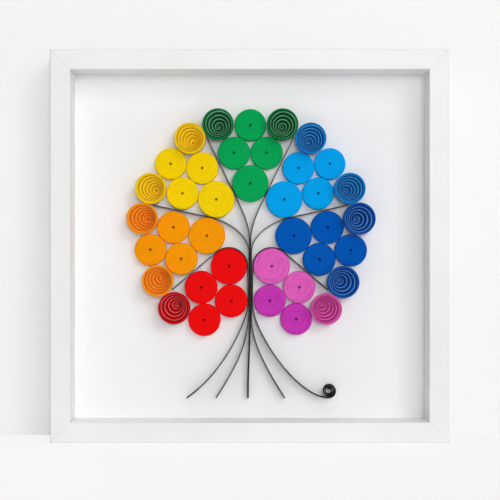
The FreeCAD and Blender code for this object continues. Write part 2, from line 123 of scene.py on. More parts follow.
class PaperShades(PropertyGroup):
    """Colours of the papers: flat coil, inside of a cup darkened as painted shade of its hollow,
    and the paler edges of its turns with a painted highlight.
    """

    green: shade("Green coil", "Green paper on edge", paint(6, 166, 86))
    # A cup colour is its paper darkened, painted shade of the cup's hollow
    green_cup: shade("Green cup", "Inside of a green cup", paint(2, 80, 36))
    # A ridge colour is the paler cut edge of a cup's turns with a painted highlight on it
    green_ridge: shade("Green ridge", "Edges of a green cup's turns", paint(138, 204, 164))
    green_rim: shade("Green rim", "Outer turns of a green cup", paint(8, 124, 62))
    yellow: shade("Yellow coil", "Yellow paper on edge", paint(252, 213, 6))
    yellow_cup: shade("Yellow cup", "Inside of a yellow cup", paint(250, 192, 18))
    yellow_ridge: shade("Yellow ridge", "Edges of a yellow cup's turns", paint(255, 222, 60))
    yellow_rim: shade("Yellow rim", "Outer turns of a yellow cup", paint(252, 212, 10))
    sky: shade("Sky coil", "Sky blue paper on edge", paint(2, 165, 240))
    sky_cup: shade("Sky cup", "Inside of a sky blue cup", paint(8, 88, 166))
    sky_ridge: shade("Sky ridge", "Edges of a sky blue cup's turns", paint(92, 176, 230))
    sky_rim: shade("Sky rim", "Outer turns of a sky blue cup", paint(8, 132, 208))
    orange: shade("Orange coil", "Orange paper on edge", paint(255, 156, 6))
    orange_cup: shade("Orange cup", "Inside of an orange cup", paint(254, 128, 24))
    orange_ridge: shade("Orange ridge", "Edges of an orange cup's turns", paint(255, 168, 62))
    orange_rim: shade("Orange rim", "Outer turns of an orange cup", paint(255, 158, 18))
    blue: shade("Blue coil", "Blue paper on edge", paint(1, 88, 183))
    blue_cup: shade("Blue cup", "Inside of a blue cup", paint(6, 68, 154))
    blue_ridge: shade("Blue ridge", "Edges of a blue cup's turns", paint(108, 164, 214))
    blue_rim: shade("Blue rim", "Outer turns of a blue cup", paint(8, 84, 174))
    red: shade("Red coil", "Red paper on edge", paint(242, 12, 14))
    red_cup: shade("Red cup", "Inside of a red cup", paint(188, 10, 20))
    red_ridge: shade("Red ridge", "Edges of a red cup's turns", paint(255, 118, 118))
    red_rim: shade("Red rim", "Outer turns of a red cup", paint(204, 8, 22))
    pink: shade("Pink coil", "Pink paper on edge", paint(229, 98, 192))
    pink_deep: shade("Deep pink coil", "Deeper pink of two coils", paint(202, 58, 182))
    pink_cup: shade("Pink cup", "Inside of a pink cup", paint(196, 56, 144))
    pink_ridge: shade("Pink ridge", "Edges of a pink cup's turns", paint(242, 128, 200))
    pink_rim: shade("Pink rim", "Outer turns of a pink cup", paint(222, 94, 176))
    dark: shade("Dark strip", "Paper of trunk, branches and roots", paint(30, 27, 28))
    # Tint of the painted shade in and round the eye of a flat coil
    eye: shade("Eye", "How dark the start of a roll looks, as a tint", paint(70, 52, 48))


class CoilSizes(PropertyGroup):
    """Sizes of the flat coils' turns."""

    eye: length("Eye", "Diameter of the hole that the rolling needle leaves", 0.0014)
    eye_depth: length("Eye depth", "How deep the eye is seen to be", 0.0022)
    pitch: length("Turn pitch", "From one line between turns to the next", 0.00048)
    relief: length("Turn relief", "Depth of the line between two turns", 0.00003)
    wander: length("Turn wander", "How far a turn stands proud of its neighbours", 0.00008)
    dome: length("Dome", "How far the middle stands out", 0.0003)
    nub: length("Nub", "How far the first turns stand out round the eye", 0.00022)
    shoulder: length("Shoulder", "Width of the rounded outer edge", 0.0008)
    drop: length("Shoulder drop", "How far the outer edge falls back", 0.0006)
    columns: IntProperty(
        name="Columns", description="Facets round a coil", default=96, min=24, max=180)


class CupSizes(PropertyGroup):
    """Sizes of the cups' stepped turns."""

    paper_width: length("Paper width", "Width of the paper strip of a cup", 0.006)
    core: length("Core", "Diameter of the flat middle of a cup", 0.0034)
    rim: length("Rim", "Width of the outer turns that stay level", 0.0009)
    groove: length("Groove", "Extra depth of the gap behind a step", 0.00022)
    steps: IntProperty(name="Steps", description="Stepped turns in a cup", default=4, min=3, max=12)
    far_lean: length("Far lean", "A cup that leans further has one more step", 0.0027)
    columns: IntProperty(
        name="Columns", description="Facets round a cup", default=96, min=24, max=180)


class FrameFinish(PropertyGroup):
    """Colours of the frame, the card and the back."""

    paint: shade("Frame paint", "Satin white paint", paint(240, 240, 239))
    joint: shade("Mitre line", "Hairline in the paint at a mitre", paint(204, 202, 199))
    card: shade("Card", "White backing card", paint(247, 247, 248))
    board: shade("Back board", "Bare fibre board", paint(138, 104, 72))
    board_fleck: shade("Board fleck", "Darker fibres of the board", paint(96, 68, 44))
    steel: shade("Steel", "Points and V nails", paint(168, 169, 171))
    brass: shade("Brass plating", "Hanger and its nails", paint(194, 181, 138))


class StageSettings(PropertyGroup):
    """Floor, wall, lamps and camera."""

    ground: shade("Ground", "Pale floor and wall", paint(250, 250, 250))
    key_power: power("Key lamp", "Power of the soft lamp at the upper right", 32.5)
    front_power: power("Front lamp", "Power of the soft lamp in front", 27.0)
    top_power: power("Top lamp", "Power of the soft lamp overhead", 38.0)
    side_power: power("Side lamp", "Power of the soft lamp far to the right", 14.0)
    back_power: power("Back lamp", "Power of the soft lamp behind", 34.0)
    sky_strength: FloatProperty(
        name="Room light", description="Strength of the even light of the room", default=0.13,
        min=0, max=2)
    camera_distance: length("Camera distance", "From the camera to the frame's front", 0.85)
    view_width: length("View width", "Width that the picture takes in at the frame's front", 0.3133)


# Shader building

def tree_node(tree, kind, **settings):
    """A new node. Settings name its properties, or its inputs where they start with in_."""
    node = tree.nodes.new(kind)
    for name, value in settings.items():
        if name.startswith("in_"):
            node.inputs[int(name[3:])].default_value = value
        else:
            setattr(node, name, value)
    return node


def maths(tree, operation, first, second=None):
    """A Math node on values or sockets. Returns its output."""
    node = tree.nodes.new("ShaderNodeMath")
    node.operation = operation
    for socket, value in zip(node.inputs, (first, second)):
        if value is None:
            continue
        if isinstance(value, (int, float)):
            socket.default_value = value
        else:
            tree.links.new(value, socket)
    return node.outputs[0]


def mixed(tree, factor, first, second):
    """A colour mix of two colours or sockets. Returns its output."""
    node = tree.nodes.new("ShaderNodeMix")
    node.data_type = "RGBA"
    factor_in, first_in, second_in = node.inputs[0], node.inputs[6], node.inputs[7]
    for socket, value in ((factor_in, factor), (first_in, first), (second_in, second)):
        if isinstance(value, bpy.types.NodeSocket):
            tree.links.new(value, socket)
        elif isinstance(value, (int, float)):
            socket.default_value = value
        else:
            socket.default_value = (*value, 1.0)
    return node.outputs[2]


def remap(tree, value, low, high, new_low, new_high):
    """A Map Range node. Returns its output."""
    node = tree.nodes.new("ShaderNodeMapRange")
    tree.links.new(value, node.inputs[0])
    for socket, number in zip(list(node.inputs)[1:5], (low, high, new_low, new_high)):
        socket.default_value = number
    return node.outputs[0]


def from_middle(tree, vector):
    """How far a point lies across and up from its object's middle, and its distance from it."""
    split = tree_node(tree, "ShaderNodeSeparateXYZ")
    tree.links.new(vector, split.inputs[0])
    x, z = split.outputs[0], split.outputs[2]
    squares = maths(tree, "ADD", maths(tree, "MULTIPLY", x, x), maths(tree, "MULTIPLY", z, z))
    return x, z, maths(tree, "SQRT", squares)


def seen_directly(tree):
    """1 for what the camera sees straight, in a reflection or through glass, otherwise 0."""
    rays = tree_node(tree, "ShaderNodeLightPath")
    seen = maths(tree, "MAXIMUM", rays.outputs["Is Camera Ray"], rays.outputs["Is Glossy Ray"])
    return maths(tree, "MAXIMUM", seen, rays.outputs["Is Transmission Ray"])


def new_group(name, inputs, outputs):
    """An empty shader node group with its input and output nodes."""
    group = bpy.data.node_groups.new(name, "ShaderNodeTree")
    for socket_name, kind, default in inputs:
        socket = group.interface.new_socket(name=socket_name, in_out="INPUT", socket_type=kind)
        if default is not None:
            socket.default_value = default
    for socket_name in outputs:
        group.interface.new_socket(
            name=socket_name, in_out="OUTPUT", socket_type="NodeSocketFloat")
    start = group.nodes.new("NodeGroupInput")
    end = group.nodes.new("NodeGroupOutput")
    return group, start, end


def rolled_turns_group():
    """Rings and broken arcs of paper edges round an object's own middle."""
    if "Rolled turns" in bpy.data.node_groups:
        return bpy.data.node_groups["Rolled turns"]
    group, start, end = new_group(
        "Rolled turns",
        [("Vector", "NodeSocketVector", None), ("Turn size", "NodeSocketFloat", 0.0003),
         ("Band size", "NodeSocketFloat", 0.0011)],
        ["Tone", "Height"],
    )
    x, z, distance = from_middle(group, start.outputs["Vector"])
    radius = maths(group, "MAXIMUM", distance, 0.0002)
    layers = []
    for size, around in (("Turn size", 1.6), ("Band size", 0.8)):
        place = tree_node(group, "ShaderNodeCombineXYZ")
        group.links.new(maths(group, "MULTIPLY", maths(group, "DIVIDE", x, radius), around),
                        place.inputs[0])
        group.links.new(maths(group, "MULTIPLY", maths(group, "DIVIDE", z, radius), around),
                        place.inputs[1])
        group.links.new(maths(group, "DIVIDE", radius, start.outputs[size]), place.inputs[2])
        cloud = tree_node(group, "ShaderNodeTexNoise", in_2=1.0, in_3=2.0, in_4=0.55)
        group.links.new(place.outputs[0], cloud.inputs[0])
        layers.append(cloud.outputs[0])
    blend = maths(group, "ADD", maths(group, "MULTIPLY", layers[0], 0.5),
                  maths(group, "MULTIPLY", layers[1], 0.5))
    group.links.new(remap(group, blend, 0.36, 0.64, 0.0, 1.0), end.inputs["Tone"])
    group.links.new(layers[0], end.inputs["Height"])
    return group


def paper_fibre_group():
    """Fine felted fibres of paper and card."""
    if "Paper fibre" in bpy.data.node_groups:
        return bpy.data.node_groups["Paper fibre"]
    group, start, end = new_group(
        "Paper fibre",
        [("Vector", "NodeSocketVector", None), ("Fibre size", "NodeSocketFloat", 0.0006)],
        ["Tone", "Height"],
    )
    scale = maths(group, "DIVIDE", 1.0, start.outputs["Fibre size"])
    cloud = tree_node(group, "ShaderNodeTexNoise", in_3=4.0, in_4=0.6, in_8=0.6)
    grain = tree_node(group, "ShaderNodeTexVoronoi", feature="SMOOTH_F1")
    for texture in (cloud, grain):
        group.links.new(start.outputs["Vector"], texture.inputs[0])
        group.links.new(scale, texture.inputs["Scale"])
    group.links.new(remap(group, cloud.outputs[0], 0.3, 0.7, 0.0, 1.0), end.inputs["Tone"])
    height = maths(group, "ADD", maths(group, "MULTIPLY", cloud.outputs[0], 0.7),
                   maths(group, "MULTIPLY", grain.outputs["Distance"], 0.3))
    group.links.new(height, end.inputs["Height"])
    return group


def drawn_metal_group():
    """Fine drawing lines and dull spots of sheet steel and wire."""
    if "Drawn metal" in bpy.data.node_groups:
        return bpy.data.node_groups["Drawn metal"]
    group, start, end = new_group(
        "Drawn metal",
        [("Vector", "NodeSocketVector", None), ("Line size", "NodeSocketFloat", 0.00025)],
        ["Lines", "Spots"],
    )
    stretch = tree_node(group, "ShaderNodeMapping")
    stretch.inputs["Scale"].default_value = (0.06, 1.0, 1.0)
    group.links.new(start.outputs["Vector"], stretch.inputs[0])
    scale = maths(group, "DIVIDE", 1.0, start.outputs["Line size"])
    lines = tree_node(group, "ShaderNodeTexNoise", in_3=3.0, in_4=0.6)
    group.links.new(stretch.outputs[0], lines.inputs[0])
    group.links.new(scale, lines.inputs["Scale"])
    spots = tree_node(group, "ShaderNodeTexNoise", in_2=420.0, in_3=3.0, in_4=0.55)
    group.links.new(start.outputs["Vector"], spots.inputs[0])
    group.links.new(lines.outputs[0], end.inputs["Lines"])
    group.links.new(remap(group, spots.outputs[0], 0.42, 0.68, 0.0, 1.0), end.inputs["Spots"])
    return group


def placed_group(tree, group, vector, **values):
    """A group node with its vector linked and its own values."""
    node = tree.nodes.new("ShaderNodeGroup")
    node.node_tree = group
    tree.links.new(vector, node.inputs["Vector"])
    for name, value in values.items():
        node.inputs[name.replace("_", " ").capitalize()].default_value = value
    return node


def new_material(name, specular=0.35, metallic=0.0):
    """A material with its Principled shader and object coordinates."""
    material = bpy.data.materials.new(name)
    material.use_nodes = True
    tree = material.node_tree
    shader = tree.nodes["Principled BSDF"]
    shader.inputs["Specular IOR Level"].default_value = specular
    shader.inputs["Metallic"].default_value = metallic
    place = tree_node(tree, "ShaderNodeTexCoord")
    return material, tree, shader, place.outputs["Object"]


def add_bump(tree, shader, height, strength, distance):
    """Fine relief that only bends the light."""
    bump = tree_node(tree, "ShaderNodeBump")
    bump.inputs["Strength"].default_value = strength
    bump.inputs["Distance"].default_value = distance
    tree.links.new(height, bump.inputs["Height"])
    tree.links.new(bump.outputs[0], shader.inputs["Normal"])


def toned(colour, share):
    """The same hue, darker or brighter."""
    return tuple(min(1.0, v * share) for v in colour)


def lighter(colour, share):
    """The colour with a share of white in it."""
    return tuple(v + (1 - v) * share for v in colour)


def coil_material(name, colour, eye_shade_tint, depth):
    """Dyed paper rolled tight, seen on the edges of its turns, with painted shade in rings between
    the turns and in the eye.
    """
    material, tree, shader, place = new_material(name, specular=0.04)
    turns = placed_group(tree, rolled_turns_group(), place)
    fibre = placed_group(tree, paper_fibre_group(), place, fibre_size=0.0005)
    # Rings of random tone along the turns; their darker lines are painted shade between the turns
    tone = mixed(tree, turns.outputs["Tone"], toned(colour, 1 - depth),
                 toned(colour, 1 + depth / 2))
    fibres = mixed(tree, maths(tree, "MULTIPLY", fibre.outputs["Tone"], 0.1), tone,
                   toned(colour, 0.7))
    _, _, radius = from_middle(tree, place)
    # Painted shade in the eye and round its mouth: the paper tinted darker towards the hole
    eye_shade_mask = remap(tree, radius, 0.0006, 0.0011, 0.7, 0.0)
    painted_eye_shade = tuple(a * b for a, b in zip(colour, eye_shade_tint))
    tree.links.new(mixed(tree, eye_shade_mask, fibres, painted_eye_shade), shader.inputs["Base Color"])
    tree.links.new(remap(tree, turns.outputs["Tone"], 0, 1, 0.82, 0.7), shader.inputs["Roughness"])
    height = maths(tree, "ADD", turns.outputs["Height"],
                   maths(tree, "MULTIPLY", fibre.outputs["Height"], 0.3))
    add_bump(tree, shader, height, 0.4, 0.00006)
    return material


def cup_material(name, ground, ridge, rim):
    """Dyed paper pushed out in steps: the paper darkened inside as painted shade of the hollow,
    each turn's paler cut edge with a painted highlight, and painted shade in the groove behind it.
    """
    material, tree, shader, place = new_material(name, specular=0.06)
    edge = tree_node(tree, "ShaderNodeAttribute", attribute_name="paper_edge")
    outer = tree_node(tree, "ShaderNodeAttribute", attribute_name="outer_turns")
    turns = placed_group(tree, rolled_turns_group(), place, turn_size=0.0003, band_size=0.0009)
    fibre = placed_group(tree, paper_fibre_group(), place, fibre_size=0.0005)
    # The ground: the cup's paper darkened as painted shade of the hollow, in random tones
    tone = mixed(tree, turns.outputs["Tone"], toned(ground, 0.74), toned(ground, 1.08))
    # Painted shade in the groove behind each step: below zero the mask darkens the ground
    gap = remap(tree, edge.outputs["Fac"], -1.0, 0.0, 0.85, 0.0)
    shaded = mixed(tree, gap, tone, toned(ground, 0.4))
    # Painted highlight on each turn's paler cut edge: above zero the mask brings in the ridge
    # colour, dimmed at random
    share = maths(tree, "MULTIPLY", remap(tree, edge.outputs["Fac"], 0.0, 1.0, 0.0, 1.0),
                  remap(tree, turns.outputs["Tone"], 0, 1, 0.45, 1.0))
    stepped = mixed(tree, share, shaded, ridge)
    level = mixed(tree, turns.outputs["Tone"], toned(rim, 0.86), toned(rim, 1.05))
    whole = mixed(tree, outer.outputs["Fac"], stepped, level)
    fibres = mixed(tree, maths(tree, "MULTIPLY", fibre.outputs["Tone"], 0.12), whole,
                   toned(ground, 0.6))
    tree.links.new(fibres, shader.inputs["Base Color"])
    tree.links.new(remap(tree, fibre.outputs["Tone"], 0, 1, 0.82, 0.7), shader.inputs["Roughness"])
    add_bump(tree, shader, fibre.outputs["Height"], 0.4, 0.00006)
    return material


def strip_material(colour):
    """Dark paper on edge, a little warmer and paler where it is cut."""
    material, tree, shader, place = new_material("Dark paper strip", specular=0.12)
    fibre = placed_group(tree, paper_fibre_group(), place, fibre_size=0.0007)
    facing = tree_node(tree, "ShaderNodeNewGeometry")
    split = tree_node(tree, "ShaderNodeSeparateXYZ")
    tree.links.new(facing.outputs["Normal"], split.inputs[0])
    cut_edge = remap(tree, maths(tree, "MULTIPLY", split.outputs[1], -1.0), 0.5, 0.9, 0.0, 1.0)
    cloud = tree_node(tree, "ShaderNodeTexNoise", in_2=55.0, in_3=2.0)
    tree.links.new(place, cloud.inputs[0])
    side = mixed(tree, fibre.outputs["Tone"], toned(colour, 0.7), toned(colour, 1.1))
    warm = tuple(min(1.0, v * f) for v, f in zip(colour, (1.7, 1.5, 1.4)))
    cut = mixed(tree, remap(tree, cloud.outputs[0], 0.35, 0.65, 0, 1), toned(colour, 1.1), warm)
    tree.links.new(mixed(tree, cut_edge, side, cut), shader.inputs["Base Color"])
    tree.links.new(remap(tree, fibre.outputs["Tone"], 0, 1, 0.75, 0.6), shader.inputs["Roughness"])
    add_bump(tree, shader, fibre.outputs["Height"], 0.35, 0.00005)
    return material


def paint_material(colour, joint):
    """Satin paint on wood: a faint roller texture, and a hairline at each mitre."""
    material, tree, shader, place = new_material("White frame paint", specular=0.3)
    low, high = frame_box()
    half_width = (high.x - low.x) / 2
    middle = (high.z + low.z) / 2
    half_height = (high.z - low.z) / 2
    split = tree_node(tree, "ShaderNodeSeparateXYZ")
    tree.links.new(place, split.inputs[0])
    across = maths(tree, "SUBTRACT", half_width, maths(tree, "ABSOLUTE", split.outputs[0]))
    up = maths(tree, "SUBTRACT", half_height, maths(
        tree, "ABSOLUTE", maths(tree, "SUBTRACT", split.outputs[2], middle)))
    apart = maths(tree, "ABSOLUTE", maths(tree, "SUBTRACT", across, up))
    hairline = remap(tree, apart, 0.00006, 0.00022, 1.0, 0.0)
    peel = tree_node(tree, "ShaderNodeTexNoise", in_2=900.0, in_3=2.0, in_4=0.5)
    tree.links.new(place, peel.inputs[0])
    drift = tree_node(tree, "ShaderNodeTexNoise", in_2=22.0, in_3=3.0, in_4=0.55)
    tree.links.new(place, drift.inputs[0])
    tone = mixed(tree, remap(tree, drift.outputs[0], 0.35, 0.65, 0, 1), toned(colour, 0.985),
                 lighter(colour, 0.12))
    tree.links.new(mixed(tree, maths(tree, "MULTIPLY", hairline, 0.8), tone, joint),
                   shader.inputs["Base Color"])
    tree.links.new(remap(tree, drift.outputs[0], 0.3, 0.7, 0.5, 0.42), shader.inputs["Roughness"])
    height = maths(tree, "SUBTRACT", peel.outputs[0], hairline)
    add_bump(tree, shader, height, 0.3, 0.00008)
    return material


def card_material(colour):
    """Smooth white card with a faint tooth."""
    material, tree, shader, place = new_material("White card", specular=0.25)
    fibre = placed_group(tree, paper_fibre_group(), place, fibre_size=0.0009)
    tone = mixed(tree, fibre.outputs["Tone"], toned(colour, 0.975), colour)
    tree.links.new(tone, shader.inputs["Base Color"])
    tree.links.new(remap(tree, fibre.outputs["Tone"], 0, 1, 0.8, 0.68), shader.inputs["Roughness"])
    add_bump(tree, shader, fibre.outputs["Height"], 0.3, 0.00006)
    return material


def board_material(colour, fleck):
    """Bare fibre board: matted fibres with darker flecks."""
    material, tree, shader, place = new_material("Fibre board", specular=0.25)
    fibre = placed_group(tree, paper_fibre_group(), place, fibre_size=0.0016)
    strands = tree_node(tree, "ShaderNodeTexNoise", in_2=260.0, in_3=5.0, in_4=0.7, in_8=1.6)
    tree.links.new(place, strands.inputs[0])
    cloud = tree_node(tree, "ShaderNodeTexNoise", in_2=18.0, in_3=3.0)
    tree.links.new(place, cloud.inputs[0])
    base = mixed(tree, remap(tree, cloud.outputs[0], 0.35, 0.65, 0, 1), toned(colour, 0.88),
                 lighter(colour, 0.05))
    matted = mixed(tree, maths(tree, "MULTIPLY", fibre.outputs["Tone"], 0.45), base, fleck)
    flecks = remap(tree, strands.outputs[0], 0.56, 0.68, 0, 0.75)
    tree.links.new(mixed(tree, flecks, matted, fleck), shader.inputs["Base Color"])
    tree.links.new(remap(tree, fibre.outputs["Tone"], 0, 1, 0.62, 0.82), shader.inputs["Roughness"])
    height = maths(tree, "ADD", fibre.outputs["Height"], strands.outputs[0])
    add_bump(tree, shader, height, 0.5, 0.00012)
    return material


def metal_material(name, colour, dull):
    """Drawn sheet metal with fine lines and duller spots."""
    material, tree, shader, place = new_material(name, specular=0.5, metallic=1.0)
    metal = placed_group(tree, drawn_metal_group(), place)
    tone = mixed(tree, metal.outputs["Spots"], colour, dull)
    streaks = mixed(tree, remap(tree, metal.outputs["Lines"], 0.35, 0.65, 0, 0.3), tone,
                    toned(colour, 0.7))
    tree.links.new(streaks, shader.inputs["Base Color"])
    rough = maths(tree, "ADD", remap(tree, metal.outputs["Lines"], 0.3, 0.7, 0.24, 0.36),
                  maths(tree, "MULTIPLY", metal.outputs["Spots"], 0.18))
    tree.links.new(rough, shader.inputs["Roughness"])
    add_bump(tree, shader, metal.outputs["Lines"], 0.25, 0.00004)
    return material


def ground_material(name, colour, glow, from_front_only=False):
    """A pale matte ground that keeps shadows. Part of its white is only for the camera."""
    material = bpy.data.materials.new(name)
    material.use_nodes = True
    tree = material.node_tree
    tree.nodes.clear()
    matte = tree_node(tree, "ShaderNodeBsdfDiffuse", in_0=(*colour, 1.0))
    white = tree_node(tree, "ShaderNodeEmission", in_0=(1.0, 1.0, 1.0, 1.0), in_1=1.0)
    seen = seen_directly(tree)
    join = tree_node(tree, "ShaderNodeMixShader")
    tree.links.new(maths(tree, "MULTIPLY", seen, glow), join.inputs[0])
    tree.links.new(matte.outputs[0], join.inputs[1])
    tree.links.new(white.outputs[0], join.inputs[2])
    surface = join.outputs[0]
    if from_front_only:
        facing = tree_node(tree, "ShaderNodeNewGeometry")
        front = maths(tree, "SUBTRACT", 1.0, facing.outputs["Backfacing"])
        clear = tree_node(tree, "ShaderNodeBsdfTransparent")
        sides = tree_node(tree, "ShaderNodeMixShader")
        tree.links.new(maths(tree, "MULTIPLY", front, seen), sides.inputs[0])
        tree.links.new(clear.outputs[0], sides.inputs[1])
        tree.links.new(surface, sides.inputs[2])
        surface = sides.outputs[0]
    out = tree_node(tree, "ShaderNodeOutputMaterial")
    tree.links.new(surface, out.inputs["Surface"])
    return material


# Shapes

def frame_box():
    """Lowest and highest corner of the four rails."""
    boxes = [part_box(rail) for rail in RAILS]
    low = Vector(tuple(min(box[0][axis] for box in boxes) for axis in range(3)))
    high = Vector(tuple(max(box[1][axis] for box in boxes) for axis in range(3)))
    return low, high


def nodes_named(part):
    """CAD nodes that have this part in their name, in order."""
    return sorted(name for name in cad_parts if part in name)


def coil_place(node):
    """Middle of a coil on the card, its radius and its height."""
    low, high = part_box(node)
    middle = Vector(((low[0] + high[0]) / 2, high[1], (low[2] + high[2]) / 2))
    return middle, (high[0] - low[0]) / 2, high[1] - low[1]


def foot_lean(node):
    """How far a cup's foot stands from under the middle of its rim."""
    middle, _, _ = coil_place(node)
    foot = [v.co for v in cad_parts[node].data.vertices if v.co.y > middle.y - 1e-5]
    low_x, high_x = min(v.x for v in foot), max(v.x for v in foot)
    low_z, high_z = min(v.z for v in foot), max(v.z for v in foot)
    return (low_x + high_x) / 2 - middle.x, (low_z + high_z) / 2 - middle.z


def ease(value):
    """A share from 0 to 1 with a soft start and end."""
    value = min(1.0, max(0.0, value))
    return value * value * (3 - 2 * value)


def wander_along(rng, turns):
    """Smooth random heights, from -1 to 1, along the turns of one strip of paper."""
    knots = [rng.uniform(-1, 1) for _ in range(int(turns * KNOTS_PER_TURN) + 4)]

    def height(turn):
        place = max(0.0, turn * KNOTS_PER_TURN)
        first = min(int(place), len(knots) - 2)
        share = ease(place - first)
        return knots[first] + (knots[first + 1] - knots[first]) * share

    return height


def add_piece(node, mesh, material, middle):
    """Puts a new mesh in the place of its CAD node."""
    piece = bpy.data.objects.new(node + "_paper", mesh)
    piece.location = middle
    bpy.context.scene.collection.objects.link(piece)
    mesh.materials.append(material)
    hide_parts(node)
    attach(piece, "root")


def finished_mesh(name, points, faces, crease, **values):
    """A mesh without doubled points, smooth but for its sharp edges, with its named values."""
    mesh = bpy.data.meshes.new(name)
    mesh.from_pydata(points, [], faces)
    for value_name, numbers in values.items():
        layer = mesh.attributes.new(value_name, "FLOAT", "POINT")
        layer.data.foreach_set("value", numbers)
    work = bmesh.new()
    work.from_mesh(mesh)
    bmesh.ops.remove_doubles(work, verts=work.verts, dist=2e-6)
    bmesh.ops.dissolve_degenerate(work, edges=work.edges, dist=1e-6)
    bmesh.ops.recalc_face_normals(work, faces=work.faces)
    work.to_mesh(mesh)
    work.free()
    mesh.shade_smooth()
    mesh.set_sharp_from_angle(angle=math.radians(crease))
    return mesh


def flat_coil_mesh(name, radius, height, sizes, rng):
    """A tight roll of paper as a spiral of ridges, with a rounded edge and a blind eye."""
    fade = 0.0005  # over which the turns settle at the eye and at the edge
    lip, lip_drop = 0.0004, 0.0002
    nub_reach, nub_slope = 0.0021, 0.0012
    eye = sizes.eye / 2
    level_radius = radius - sizes.shoulder
    turns = math.ceil((level_radius - eye) / sizes.pitch)
    spiral = 2 * (turns + 1)
    shoulder_points = 5
    columns = sizes.columns
    start = rng.uniform(0, 2 * math.pi)
    wander = wander_along(rng, turns + 2)
    dome = sizes.dome * rng.uniform(0.5, 1.3)
    points = []
    for j in range(columns):
        angle = start + 2 * math.pi * j / columns
        rim_height = height - sizes.nub - dome * (level_radius / radius) ** 2

        def add(r, h):
            points.append((r * math.cos(angle), -h, r * math.sin(angle)))

        for k in range(spiral + 1):
            r = eye + sizes.pitch * (k / 2 - 1 + j / columns)
            r = min(level_radius, max(eye, r))
            inside = min(1.0, (r - eye) / fade, (level_radius - r) / fade)
            at_eye = max(0.0, 1 - (r - eye) / lip)
            h = height - sizes.nub - dome * (r / radius) ** 2 - lip_drop * at_eye ** 2
            h += sizes.nub * ease((nub_reach - r) / nub_slope)
            h += inside * (sizes.wander * wander(k / 2 + j / columns) * 0.5)
            h -= inside * sizes.relief * (k % 2 == 0)
            add(r, min(h, height))
        for k in range(1, shoulder_points + 1):
            share = math.sin(k / shoulder_points * math.pi / 2)
            add(level_radius + sizes.shoulder * share,
                rim_height - sizes.drop * (1 - math.sqrt(max(0.0, 1 - share * share))))
        add(radius, 0.0)
        add(eye, height - sizes.eye_depth)
    count = spiral + shoulder_points
    stride = count + 3
    faces = []
    for j in range(columns):
        seam = j == columns - 1
        here = j * stride
        there = 0 if seam else here + stride
        for k in range(count):
            a, b = k, k + 1
            if seam and k < spiral:
                a, b = min(spiral, k + 2), min(spiral, k + 3)
            if a == b:
                faces.append((here + k, here + k + 1, there + b))
            else:
                faces.append((here + k, here + k + 1, there + b, there + a))
        rim, back, eye_end = count, count + 1, count + 2
        faces.append((here + rim, here + back, there + back, there + rim))
        eye_front = 2 if seam else 0
        faces.append((here + eye_end, here, there + eye_front, there + eye_end))
    faces.append(tuple(j * stride + count + 1 for j in range(columns)))
    faces.append(tuple(j * stride + count + 2 for j in range(columns)))
    return finished_mesh(name, points, faces, COIL_CREASE)


# A step of a cup: share of its width, share of its fall, and its edge light: above 0 a paler cut
# edge with painted highlight, below 0 painted shade in the groove
CUP_STEP = (
    (0.0, 0.0, 0.9), (0.1, 0.02, 1.0), (0.2, 0.1, 0.5), (0.36, 0.26, 0.0), (0.6, 0.42, 0.0),
    (0.74, 0.7, -0.6), (0.86, 1.0, -1.0), (0.95, 1.04, -0.6),
)


